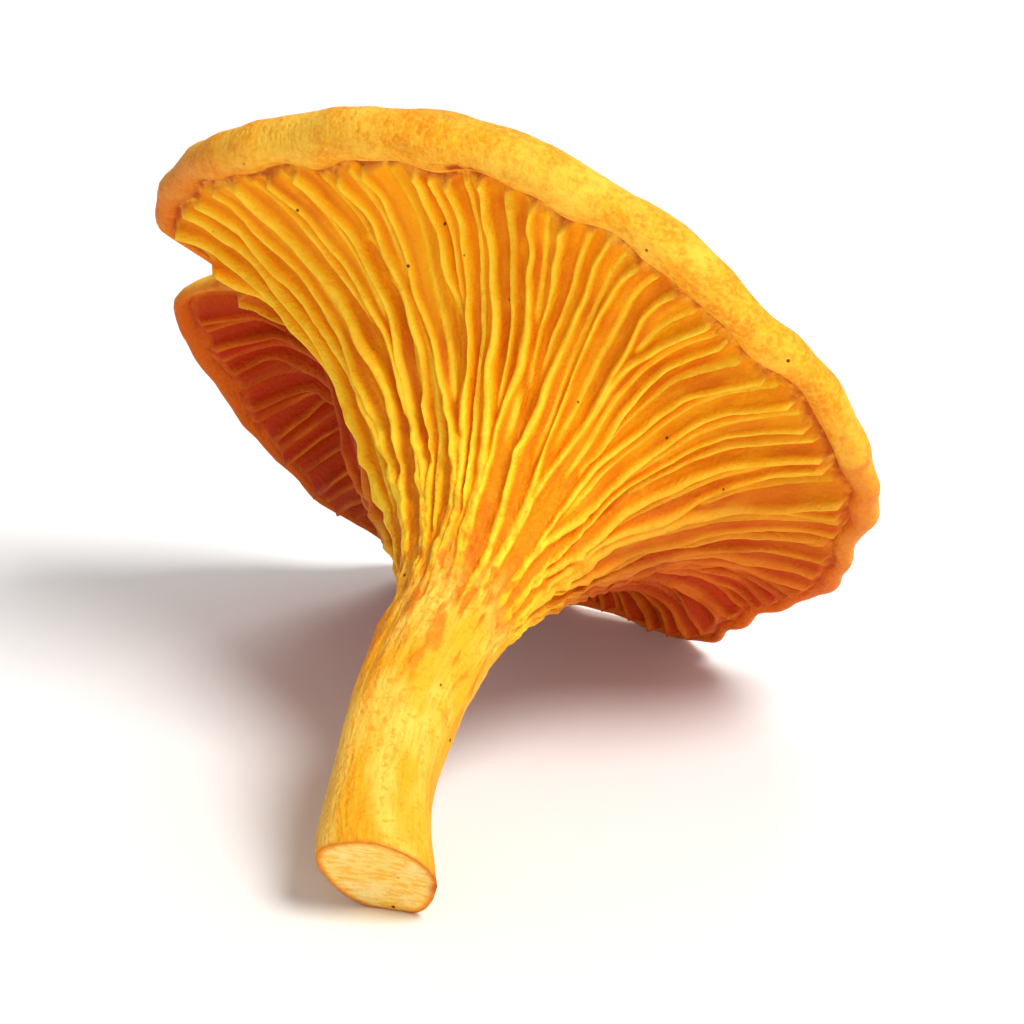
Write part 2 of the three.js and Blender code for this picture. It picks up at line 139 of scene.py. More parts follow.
@dataclass
class MushroomForm:
    """The smooth form of the mushroom: stem, underside, rolled edge and funnel.

    The edge rows give, every 30 degrees round the cap's axis: reach, rise, roll radius, how far the
    underside follows the stem, how far it follows the edge, and its slope at the edge in degrees.
    Each lobe is an angle, a half width in degrees, extra reach and extra rise. The notch has less reach.
    """

    cap_turn: float = math.radians(30.9)
    cap_tip: float = math.radians(29.9)
    cap_centre: np.ndarray = field(default_factory=lambda: np.array([-0.05, 11.32, 7.38]))
    funnel_depth: float = 9.0
    funnel_shift: np.ndarray = field(default_factory=lambda: np.array([0.3, -0.61, -1.37]))
    funnel_floor_reach: float = 9.0
    shoulder_reach: float = 12.0
    edge_tuck: float = math.radians(35.0)
    foot_centre: np.ndarray = field(default_factory=lambda: np.array([-10.7, -29.11, -18.67]))
    foot_direction: np.ndarray = field(default_factory=lambda: unit((-0.1, 0.8543, 0.5173)))
    cut_facing: np.ndarray = field(default_factory=lambda: unit((-0.27, -0.8463, -0.4551)))
    foot_radius: float = 4.35
    foot_flare: float = 0.25
    neck_centre: np.ndarray = field(default_factory=lambda: np.array([-5.7, -9.285, -6.594]))
    neck_direction: np.ndarray = field(default_factory=lambda: unit((0.45, 0.7496, 0.4544)))
    neck_radius: float = 4.75
    cut_dish: float = 0.35
    ground_level: float = -22.6
    thick_roll: float = 2.4
    thin_roll: float = 1.0
    thin_edge_share: float = 0.38
    roll_ends: float = math.radians(450.0)
    shoulder_lift_share: float = 0.55
    shoulder_drop: float = 0.3
    edge_rows: tuple[tuple[float, ...], ...] = (
        (33.0, 0.2, 1.7, 7.0, 18.0, -13.0),
        (32.4, 0.5, 2.0, 9.5, 15.0, 3.0),
        (32.0, 0.5, 2.2, 11.0, 13.0, 11.0),
        (31.5, 0.5, 2.3, 11.0, 13.0, 12.0),
        (32.0, -0.5, 2.2, 11.0, 13.0, 11.0),
        (33.2, 0.0, 1.7, 8.5, 13.0, 9.0),
        (33.8, -0.5, 1.3, 7.0, 13.0, 6.0),
        (34.8, -1.0, 1.1, 7.5, 12.0, 10.0),
        (36.9, 1.0, 1.0, 9.0, 12.0, 14.0),
        (34.0, 1.0, 1.0, 11.0, 12.0, 18.0),
        (31.3, 0.6, 1.0, 10.0, 11.0, 18.0),
        (33.0, 0.2, 1.3, 6.5, 17.0, -13.0),
    )
    lobes: tuple[tuple[float, ...], ...] = (
        (246.0, 22.0, 3.5, 1.0),
        (281.0, 17.0, 3.3, 0.2),
        (171.0, 10.0, -6.5, 0.6),
    )
    fold_depth: float = 5.0
    fold_angles: tuple[float, ...] = (172.0, 186.0, 206.0, 238.0)
    fold_reach: tuple[float, ...] = (7.0, 19.0, 25.0, 35.0)

    def __post_init__(self) -> None:
        """Work out the cap's, the neck's and the foot's own directions."""
        turn, tip = self.cap_turn, self.cap_tip
        flat = math.cos(tip)
        self.axis = np.array([math.sin(turn) * flat, math.cos(turn) * flat, math.sin(tip)])
        self.right = unit(np.cross(self.axis, (0.0, 0.0, 1.0)))
        self.up = np.cross(self.right, self.axis)
        self.neck_right = turned_with(self.right, self.axis, self.neck_direction)
        self.neck_up = turned_with(self.up, self.axis, self.neck_direction)
        self.foot_right = turned_with(self.right, self.axis, self.foot_direction)
        self.foot_up = turned_with(self.up, self.axis, self.foot_direction)

    def outward(self, angle: np.ndarray) -> np.ndarray:
        """Return the direction away from the cap's axis at each angle."""
        return np.cos(angle)[..., None] * self.right + np.sin(angle)[..., None] * self.up

    def edge_value(self, angle: np.ndarray, column: int) -> np.ndarray:
        """Read one column of the edge rows as a smooth closed curve of the angle in radians."""
        values = np.array([row[column] for row in self.edge_rows])
        n = len(values)
        place = np.mod(angle / TURN * n, n)
        i = np.floor(place).astype(int)
        f = place - i
        a, b, c, d = (values[(i + step) % n] for step in (-1, 0, 1, 2))
        cubic = 3.0 * b - a - 3.0 * c + d
        square = 2.0 * a - 5.0 * b + 4.0 * c - d
        return 0.5 * (2.0 * b + (c - a) * f + square * f * f + cubic * f**3)

    def edge(self, angle: np.ndarray) -> tuple[np.ndarray, np.ndarray, np.ndarray]:
        """Return the edge's reach, rise and roll radius, with its waves and ragged nicks.

        Args:
            angle: Angles round the cap's axis, in radians.

        Returns:
            Reach from the axis, rise along the axis and roll radius, in millimetres.
        """
        roll = self.edge_value(angle, 2)
        thin = np.clip((self.thick_roll - roll) / (self.thick_roll - self.thin_roll), 0.0, 1.0)
        reach = self.edge_value(angle, 0) + waves(EDGE_WAVES_IN_OUT, angle) * (0.5 + 0.7 * thin)
        rise = self.edge_value(angle, 1) + waves(EDGE_WAVES_UP_DOWN, angle) * (0.6 + 0.8 * thin)
        for lobe, half_width, more_reach, more_rise in self.lobes:
            away = np.abs(np.angle(np.exp(1j * (angle - math.radians(lobe)))))
            share = 1.0 - smooth(0.0, math.radians(half_width), away)
            reach = reach + more_reach * share
            rise = rise + more_rise * share
        nicks = waves(EDGE_NICKS, angle) + 0.12 * np.sin(27 * angle + 3.0 * np.sin(6 * angle))
        reach = reach + nicks * (0.08 + 1.1 * thin)
        swell = 1.0 + waves(ROLL_SWELLS, angle)
        return reach, rise, roll * swell * (1.0 - self.thin_edge_share * thin)

    def folded(self, place: np.ndarray) -> np.ndarray:
        """Push points of the cap back along its axis where the cap folds behind the notch."""
        away = place - self.cap_centre
        across, upward = away @ self.right, away @ self.up
        angle = np.degrees(np.arctan2(upward, across)) % 360.0
        radius = np.hypot(across, upward)
        begin, full, ease, end = self.fold_angles
        share = smooth(begin, full, angle) * (1.0 - smooth(ease, end, angle))
        near, inner, outer, rim = self.fold_reach
        share = share * smooth(near, inner, radius) * (1.0 - smooth(outer, rim, radius))
        return place + (self.fold_depth * share)[..., None] * self.axis

    def underside(self, angle: np.ndarray, s: np.ndarray) -> np.ndarray:
        """Return points of the smooth underside, from the neck at 0 to the edge at 1."""
        reach, rise, roll = self.edge(angle)
        out = self.outward(angle)
        slope = np.radians(self.edge_value(angle, 5))[..., None]
        pull = self.edge_value(angle, 4)[..., None]
        ring = np.cos(angle)[..., None] * self.neck_right + np.sin(angle)[..., None] * self.neck_up
        start = self.neck_centre + self.neck_radius * ring
        inset = (reach - roll - roll * math.cos(self.edge_tuck))[..., None]
        end = self.cap_centre + inset * out + (rise - roll * math.sin(self.edge_tuck))[..., None] * self.axis
        leave = start + self.edge_value(angle, 3)[..., None] * self.neck_direction
        arrive = end - pull * np.cos(slope) * out + pull * np.sin(slope) * self.axis
        return self.folded(curve(start, leave, arrive, end, s))

    def rolled_edge(self, angle: np.ndarray, q: float) -> np.ndarray:
        """Return points round the rolled edge, from the underside at 0 to the top at 1."""
        reach, rise, roll = self.edge(angle)
        start = math.pi + self.edge_tuck
        round_ = start + (self.roll_ends - start) * q
        side = (reach - roll + roll * math.cos(round_))[..., None]
        lift = (rise + roll * math.sin(round_))[..., None]
        return self.folded(self.cap_centre + side * self.outward(angle) + lift * self.axis)

    def top(self, angle: np.ndarray, q: float) -> np.ndarray:
        """Return points of the funnel, from the rolled edge at 0 to its bottom at 1."""
        reach, rise, roll = self.edge(angle)
        out = self.outward(angle)
        slope = np.radians(self.edge_value(angle, 5))
        lift = np.maximum(np.sin(slope), 0.0)[..., None] * self.shoulder_reach * self.shoulder_lift_share
        start = self.cap_centre + (reach - roll)[..., None] * out + (rise + roll)[..., None] * self.axis
        shoulder = start - self.shoulder_reach * out + (lift - self.shoulder_drop) * self.axis
        bottom = self.cap_centre - self.funnel_depth * self.axis + self.funnel_shift
        floor = bottom + self.funnel_floor_reach * out
        lumps = waves(FUNNEL_WAVES, angle, q) * 4.0 * q * (1.0 - q) ** 2
        place = curve(start, shoulder, floor, np.broadcast_to(bottom, start.shape), np.full(angle.shape, q))
        return self.folded(place + lumps[..., None] * self.axis)

    def stem(self, angle: np.ndarray, t: np.ndarray) -> np.ndarray:
        """Return points of the stem's skin, from the cut foot at 0 to the neck at 1."""
        third = float(np.linalg.norm(self.neck_centre - self.foot_centre)) / 3.0
        centre = curve(
            self.foot_centre,
            self.foot_centre + self.foot_direction * third,
            self.neck_centre - self.neck_direction * third,
            self.neck_centre,
            t,
        )
        blend = smooth(0.0, 1.0, t)[..., None]
        right = self.foot_right * (1.0 - blend) + self.neck_right * blend
        up = self.foot_up * (1.0 - blend) + self.neck_up * blend
        fade = 1.0 - smooth(0.8, 1.0, t)
        lumps = fade * waves(STEM_WAVES, angle, t)
        radius = self.foot_radius + (self.neck_radius - self.foot_radius) * smooth(0.3, 1.0, t)
        radius = (radius + self.foot_flare * (1.0 - smooth(0.0, 0.3, t)) + lumps)[..., None]
        offset = radius * (np.cos(angle)[..., None] * right + np.sin(angle)[..., None] * up)
        slide = -(offset @ self.cut_facing) / float(self.foot_direction @ self.cut_facing)
        slide = slide * (1.0 - smooth(0.0, 0.45, t))
        return centre + offset + slide[..., None] * self.foot_direction


@dataclass
class RidgeFan:
    """The forking ridges under the cap, each a line from the neck to the edge."""

    form: MushroomForm
    count: int = 60
    half_width: float = 0.48
    root_half_width: float = 0.40
    fold_half_width: float = 1.7
    # Which side of each ridge gets a painted shadow at its foot.
    ridge_shadow_side: float = 1.0
    short_half_width: float = 0.42
    ends_at: float = 0.983
    joined_gap: float = 0.24
    fork_length: float = 0.30
    widest_at: float = math.radians(100.0)
    spacing_change: float = 0.28
    across: tuple[float, ...] = (-1.0, -0.7, -0.42, -0.16, 0.16, 0.42, 0.7, 1.0)
    bay_columns: int = 7
    veins_per_bay: int = 5
    vein_half_length: float = 0.016
    vein_room: tuple[float, float] = (0.5, 1.3)
    short_room: tuple[float, float] = (1.0, 1.6)
    phase_step: float = 2.399
    neighbours: int = 3

    def __post_init__(self) -> None:
        """Lay out the ridges in families that each grow from one fold at the neck."""
        self.turns: list[list[tuple[float, float]]] = [[] for _ in range(self.count)]
        self.root = np.zeros(self.count)
        self.even = np.zeros(self.count)
        self.start = np.zeros(self.count)
        self.rank = np.zeros(self.count)
        self.wave = np.zeros(self.count)
        self.late = np.zeros(self.count)
        self.lean = np.array([1.1 * (scatter(i, 31) - 0.5) for i in range(self.count)])
        sizes = self._family_sizes()
        first = 0
        for family, size in enumerate(sizes):
            members = range(first, first + size)
            for i in members:
                self.root[i] = self._mean_angle(first, size)
                self.even[i] = self._spread((family + 0.5) / len(sizes) * TURN)
                self.start[i] = 0.04 + 0.14 * scatter(family, 6)
                self.wave[i] = scatter(family, 7) * TURN
                self.rank[i] = i - first - (size - 1) / 2.0
                if size > 1 and scatter(i, 8) < 0.2:
                    self.late[i] = 0.42 + 0.2 * scatter(i, 9)
            self._fork(first, size, 0.02, [])
            first += size

    def _family_sizes(self) -> list[int]:
        """Return how many ridges grow from each fold at the neck."""
        sizes: list[int] = []
        left = self.count
        while left > 0:
            h = scatter(len(sizes), 1)
            size = 1 if h < 0.1 else 2 if h < 0.5 else 3 if h < 0.85 else 4
            sizes.append(min(size, left))
            left -= sizes[-1]
        return sizes

    def _spread(self, angle: float) -> float:
        """Move even angles so that the ridges stand widest apart at one side of the cap."""
        return angle + self.spacing_change * (math.sin(angle - self.widest_at) + math.sin(self.widest_at))

    def _mean_angle(self, first: int, count: int) -> float:
        """Return the mean angle at the edge of a run of ridges."""
        shares = ((i + 0.5 + 0.5 * (scatter(i, 2) - 0.5)) / self.count for i in range(first, first + count))
        return sum(self._spread(share * TURN) for share in shares) / count

    def _fork(self, first: int, count: int, start: float, turns: list[tuple[float, float]]) -> None:
        """Split a bundle of ridges in two at a fork, down to single ridges.

        Args:
            first: The bundle's first ridge.
            count: How many ridges it holds.
            start: How far up the underside the next fork may start.
            turns: Where the bundle has already turned, and by how much.
        """
        if count == 1:
            self.turns[first] = turns
            return
        left = 1 + math.floor(scatter(first, count) * (count - 1))
        at = start + 0.08 + 0.3 * scatter(first + 0.5, count + 10)
        middle = self._mean_angle(first, count)
        for begin, size in ((first, left), (first + left, count - left)):
            by = self._mean_angle(begin, size) - middle
            self._fork(begin, size, at + 0.05, [*turns, (at, by)])

    def girth(self, angle: np.ndarray, s: np.ndarray) -> np.ndarray:
        """Return the millimetres of skin per radian round the underside."""
        step = 1e-3
        ahead = self.form.underside(angle + step, s)
        return np.linalg.norm(ahead - self.form.underside(angle - step, s), axis=-1) / (2.0 * step)

    def lines(self, s: np.ndarray) -> tuple[np.ndarray, np.ndarray, np.ndarray]:
        """Trace every ridge through every row.

        Args:
            s: The rows' places between the neck, 0, and the edge, 1, as a column.

        Returns:
            Angle, height from 0 to 1 and girth, each with a row per s and a column per ridge.
        """
        angle = self.root + (self.even - self.root) * 0.6 * (1.0 - smooth(0.0, 0.55, s))
        for i, turns in enumerate(self.turns):
            for at, by in turns:
                angle[:, i] += by * smooth(at, min(at + self.fork_length, 1.02), s[:, 0])
        girth = self.girth(angle, np.broadcast_to(s, angle.shape))
        own = np.arange(self.count) * self.phase_step
        sway = waves(FAMILY_SWAY, s, self.wave) * (1.0 - smooth(0.8, 1.0, s)) + waves(RIDGE_SWAY, s, own)
        angle = angle + (sway + self.rank * self.joined_gap) / girth
        rise = smooth(0.0, 1.0, s / (self.start + 0.02)) * (0.22 + 0.78 * smooth(0.1, 0.5, s))
        late = np.where(self.late > 0.0, smooth(0.0, 1.0, (s - self.late) / 0.12), 1.0)
        by_neck = smooth(0.02, 0.1, s) * (1.0 - smooth(0.3, 0.55, s))
        uneven = 1.0 + waves(CREST_SWELLS, s, own) + waves(CREST_KNOBS, s, own) * by_neck
        height = rise * late * uneven * (1.0 - smooth(self.ends_at, 1.0, s))
        return angle, height, girth

    def columns(self, s: np.ndarray) -> dict[str, np.ndarray]:
        """Work out the columns that follow the ridges, and the relief on them.

        Args:
            s: The rows' places between the neck, 0, and the edge, 1, as a column.

        Returns:
            Angle, relief from 0 to 1, crest share and strength of painted crevice shade, by row and point.
        """
        angle, height, girth = self.lines(s)
        width = self.root_half_width + (self.half_width - self.root_half_width) * smooth(0.0, 0.3, s)
        after = np.roll(angle, -1, axis=1)
        after[:, -1] += TURN
        before = np.roll(angle, 1, axis=1)
        before[:, 0] -= TURN
        left = np.minimum(width / girth, (angle - before) * 0.42)
        right = np.minimum(width / girth, (after - angle) * 0.42)
        next_left = np.roll(left, -1, axis=1)
        cross = [angle + (left if part < 0 else right) * part for part in self.across]
        start, end = angle + right, after - next_left
        for k in range(1, self.bay_columns + 1):
            cross.append(start + (end - start) * k / (self.bay_columns + 1))
        spread = np.stack(cross, axis=2)
        relief = np.zeros_like(spread)
        crest = np.zeros_like(spread)
        ridge_shadow = np.zeros_like(spread)
        for step in range(-self.neighbours, self.neighbours + 1):
            other = np.roll(angle, -step, axis=1)[..., None]
            away = np.angle(np.exp(1j * (spread - other))) * np.roll(girth, -step, axis=1)[..., None]
            lean = (np.roll(self.lean, -step) * smooth(0.25, 0.6, s))[..., None]
            high = np.roll(height, -step, axis=1)[..., None]
            sharp = 1.0 - smooth(0.05, 1.0, np.abs(away) / width[..., None])
            broad = 1.0 - smooth(0.0, 1.0, np.abs(away - lean) / self.fold_half_width)
            relief = np.maximum(relief, high * (0.5 * sharp + 0.6 * broad))
            crest = np.maximum(crest, smooth(0.0, 0.3, high) * sharp)
            # Painted shadow at the foot of one side of each ridge.
            foot = np.abs(away + self.ridge_shadow_side * 1.15 * width[..., None]) / (0.75 * width[..., None])
            ridge_shadow = np.maximum(ridge_shadow, smooth(0.1, 0.6, high) * (1.0 - smooth(0.0, 1.0, foot)))
        veins, short = self._veins(s, spread, angle, after, before, girth)
        relief = np.maximum(relief, veins)
        crest = np.maximum(crest, short)
        rows = spread.shape[0]
        # Painted shade: valleys darker near the neck, and the shadow beside each ridge.
        near_neck = (1.0 - smooth(0.15, 0.6, s))[..., None]
        pit = np.maximum(0.7 * near_neck, ridge_shadow * (0.55 + 0.45 * near_neck))
        pit = pit * (1.0 - np.clip(crest * 1.6, 0.0, 1.0))
        return {
            "angle": spread.reshape(rows, -1),
            "relief": relief.reshape(rows, -1),
            "crest": crest.reshape(rows, -1),
            "pit": pit.reshape(rows, -1),
        }

    def _veins(
        self,
        s: np.ndarray,
        spread: np.ndarray,
        angle: np.ndarray,
        after: np.ndarray,
        before: np.ndarray,
        girth: np.ndarray,
    ) -> tuple[np.ndarray, np.ndarray]:
        """Raise low slanting veins that join neighbouring ridges, and short low ridges near the edge.

        Args:
            s: The rows' places, as a column.
            spread: Angles of the columns: rows, ridges, columns of each ridge.
            angle: The ridges' own angles.
            after: The next ridges' angles.
            before: The previous ridges' angles.
            girth: Millimetres of skin per radian at each ridge.

        Returns:
            The relief of veins and short ridges, and the short ridges' crests, shaped like spread.
        """
        here, nxt, prev = angle[..., None], after[..., None], before[..., None]
        on_right = spread >= here
        t = np.where(on_right, (spread - here) / (nxt - here), (spread - prev) / (here - prev))
        gap = np.where(on_right, nxt - here, here - prev) * girth[..., None]
        relief = np.zeros_like(spread)
        crest = np.zeros_like(spread)
        index = np.arange(self.count)
        growth = (0.2 + 0.8 * smooth(0.1, 0.5, s))[..., None]
        for side, bay in ((False, (index - 1) % self.count), (True, index)):
            mine = on_right == side
            for vein in range(self.veins_per_bay):
                code = bay * self.veins_per_bay + vein
                place = 0.06 + 0.82 * draws(code, 21) ** 1.5
                there = draws(code, 22) < 0.55
                slant = 0.16 * (draws(code, 23) - 0.5)
                high = 0.16 + 0.3 * draws(code, 24)
                bend = 0.03 * (draws(code, 25) - 0.5)
                line = place[:, None] + slant[:, None] * (t - 0.5) + bend[:, None] * np.sin(math.pi * t)
                away = (s[..., None] - line) / self.vein_half_length
                bump = np.exp(-(away**2)) * (high * there)[:, None]
                bump = bump * smooth(*self.vein_room, gap) * growth
                relief = np.where(mine, np.maximum(relief, bump), relief)
        for side, bay in ((False, (index - 1) % self.count), (True, index)):
            mine = on_right == side
            begin = 0.05 + 0.5 * draws(bay, 27)
            middle = (0.5 + 0.24 * (draws(bay, 28) - 0.5))[:, None]
            high = 0.42 + 0.35 * draws(bay, 29)
            high = high * smooth(0.0, 1.0, (s - begin) / 0.2) * (1.0 - smooth(self.ends_at, 1.0, s))
            share = 1.0 - smooth(0.0, 1.0, np.abs(t - middle) * gap / self.short_half_width)
            share = share * smooth(*self.short_room, gap)
            relief = np.where(mine, np.maximum(relief, high[..., None] * share), relief)
            crest = np.where(mine, smooth(0.05, 0.4, high)[..., None] * share, crest)
        return relief, crest


class Skin:
    """A closed skin made of rings of points, with one set of marks per point."""

    # The shade mark and the crevice mark carry painted shade; the bruise mark also carries a painted shadow
    # in the crease under the roll.
    MARKS = ("relief", "crest", "pit", "tone", "shade", "bruise", "root", *(zone.value for zone in Zone))

    def __init__(self) -> None:
        """Start with no points and no faces."""
        self.points: list[np.ndarray] = []
        self.normals: list[np.ndarray] = []
        self.flows: list[np.ndarray] = []
        self.marks: dict[str, list[np.ndarray]] = {name: [] for name in self.MARKS}
        self.faces: list[tuple[int, ...]] = []
        self.size = 0

    def ring(
        self,
        angle: np.ndarray,
        points: np.ndarray,
        normals: np.ndarray,
        flow: np.ndarray,
        **marks: np.ndarray | float,
    ) -> Ring:
        """Add one ring of points.

        Args:
            angle: Each point's angle round the ring.
            points: The points, in millimetres.
            normals: The outward direction at each point.
            flow: A place along the fibres for patterns that follow the surface.
            **marks: Values of the named marks; a mark that isn't given is 0.

        Returns:
            The points' numbers and their angles.
        """
        n = len(points)
        self.points.append(points)
        self.normals.append(normals)
        self.flows.append(flow)
        for name in self.MARKS:
            self.marks[name].append(np.broadcast_to(np.asarray(marks.get(name, 0.0), float), (n,)))
        ids = np.arange(self.size, self.size + n)
        self.size += n
        return ids, angle

    def strip(self, lower: Ring, upper: Ring) -> None:
        """Join two rings that have the same columns."""
        a, d = lower[0], upper[0]
        b, c = np.roll(a, -1), np.roll(d, -1)
        self.faces.extend(zip(a.tolist(), d.tolist(), c.tolist(), b.tolist()))

    def zip(self, lower: Ring, upper: Ring) -> None:
        """Join two rings with different columns in the order of their angles."""
        (low, low_angle), (high, high_angle) = lower, upper
        n, m = len(low), len(high)
        i = j = 0
        while i < n or j < m:
            next_low = low_angle[(i + 1) % n] + (TURN if i + 1 >= n else 0.0) if i < n else math.inf
            next_high = high_angle[(j + 1) % m] + (TURN if j + 1 >= m else 0.0) if j < m else math.inf
            a, d = int(low[i % n]), int(high[j % m])
            if next_low <= next_high:
                self.faces.append((a, d, int(low[(i + 1) % n])))
                i += 1
            else:
                self.faces.append((a, d, int(high[(j + 1) % m])))
                j += 1

    def close(self, ring: Ring, middle: int, ring_is_lower: bool) -> None:
        """Close a ring on one middle point."""
        ids = ring[0].tolist()
        for a, b in zip(ids, ids[1:] + ids[:1]):
            self.faces.append((a, middle, b) if ring_is_lower else (b, middle, a))

    def to_mesh(self, name: str, shift: np.ndarray) -> bpy.types.Mesh:
        """Make a mesh of the skin, in metres, with its marks as attributes.

        Args:
            name: The mesh's name.
            shift: What is added to every point, in millimetres.

        Returns:
            The new mesh.
        """
        mesh = bpy.data.meshes.new(name)
        mesh.from_pydata(((np.vstack(self.points) + shift) * MM).tolist(), [], self.faces)
        for mark, values in self.marks.items():
            layer = mesh.attributes.new(mark, "FLOAT", "POINT")
            layer.data.foreach_set("value", np.concatenate(values).astype(np.float32))
        for label, rows in (("lift", self.normals), ("flow", self.flows)):
            layer = mesh.attributes.new(label, "FLOAT_VECTOR", "POINT")
            layer.data.foreach_set("vector", np.vstack(rows).astype(np.float32).ravel())
        mesh.validate()
        mesh.update()
        return mesh


@dataclass
class Nodes:
    """A short hand for building one node tree."""

    tree: bpy.types.NodeTree

    def add(self, kind: str, **settings: object) -> bpy.types.Node:
        """Add a node of a kind and give it its settings."""
        node = self.tree.nodes.new(kind)
        for name, value in settings.items():
            setattr(node, name, value)
        return node

    def feed(self, node: bpy.types.Node, socket: str | int, value: object) -> None:
        """Link an output to a socket, or set the socket to a plain value."""
        target = node.inputs[socket]
        if isinstance(value, bpy.types.NodeSocket):
            self.tree.links.new(value, target)
        else:
            target.default_value = value

    def math(self, kind: str, a: object, b: object = 0.0, clamp: bool = False) -> bpy.types.NodeSocket:
        """Return the result of a sum on two numbers."""
        node = self.add("ShaderNodeMath", operation=kind, use_clamp=clamp)
        self.feed(node, 0, a)
        self.feed(node, 1, b)
        return node.outputs[0]

    def vector(self, kind: str, a: object, b: object) -> bpy.types.NodeSocket:
        """Return the result of a sum on two vectors."""
        node = self.add("ShaderNodeVectorMath", operation=kind)
        self.feed(node, 0, a)
        self.feed(node, 1, b)
        return node.outputs[0]

    def scaled(self, vector: object, factor: object) -> bpy.types.NodeSocket:
        """Return a vector times a number."""
        node = self.add("ShaderNodeVectorMath", operation="SCALE")
        self.feed(node, 0, vector)
        self.feed(node, "Scale", factor)
        return node.outputs[0]

    def noise(self, vector: object, scale: float, detail: float, seed: object) -> bpy.types.NodeSocket:
        """Return a soft noise between 0 and 1.

        Args:
            vector: Where the noise is read.
            scale: How many swells there are to one unit.
            detail: How many finer layers are added.
            seed: Picks one of many noises. A plain number shifts the cheaper flat noise instead.

        Returns:
            The noise's strength.
        """
        if isinstance(seed, float):
            node = self.add("ShaderNodeTexNoise", noise_dimensions="3D")
            vector = self.vector("ADD", vector, (7.7 * seed, 3.1 * seed, 5.3 * seed))
        else:
            node = self.add("ShaderNodeTexNoise", noise_dimensions="4D")
            self.feed(node, "W", seed)
        self.feed(node, "Vector", vector)
        self.feed(node, "Scale", scale)
        self.feed(node, "Detail", detail)
        return node.outputs[0]

    def along(
        self, flow: object, squeeze: float, scale: float, detail: float, seed: object
    ) -> bpy.types.NodeSocket:
        """Return a noise drawn out along the fibres by the inverse of the squeeze."""
        return self.noise(self.vector("MULTIPLY", flow, (1.0, 1.0, squeeze)), scale, detail, seed)

    def mark(self, name: str, vector: bool = False) -> bpy.types.NodeSocket:
        """Return one of the skin's marks in a material."""
        return self.add("ShaderNodeAttribute", attribute_name=name).outputs["Vector" if vector else "Fac"]

    def named(self, name: str, kind: str = "FLOAT") -> bpy.types.NodeSocket:
        """Return one of the skin's marks in a geometry node tree."""
        node = self.add("GeometryNodeInputNamedAttribute", data_type=kind)
        node.inputs["Name"].default_value = name
        return node.outputs[0]

    def remap(
        self, value: object, low: float, high: float, to_low: float = 0.0, to_high: float = 1.0
    ) -> object:
        """Return a value eased from one range to another, held at its ends."""
        node = self.add("ShaderNodeMapRange", interpolation_type="SMOOTHSTEP")
        ends = {"From Min": low, "From Max": high, "To Min": to_low, "To Max": to_high}
        for socket, number in ends.items():
            node.inputs[socket].default_value = number
        self.feed(node, "Value", value)
        return node.outputs[0]

    def mix(self, factor: object, a: object, b: object) -> bpy.types.NodeSocket:
        """Return a colour between two colours."""
        node = self.add("ShaderNodeMix", data_type="RGBA", clamp_factor=True)
        self.feed(node, 0, factor)
        self.feed(node, 6, a)
        self.feed(node, 7, b)
        return node.outputs[2]


def root_folds(n: Nodes, flow: object) -> bpy.types.NodeSocket:
    """Return the noise of the low folds that run from the ridges on to the stem."""
    return n.along(flow, 0.3, 0.85, 4.0, 71.0)


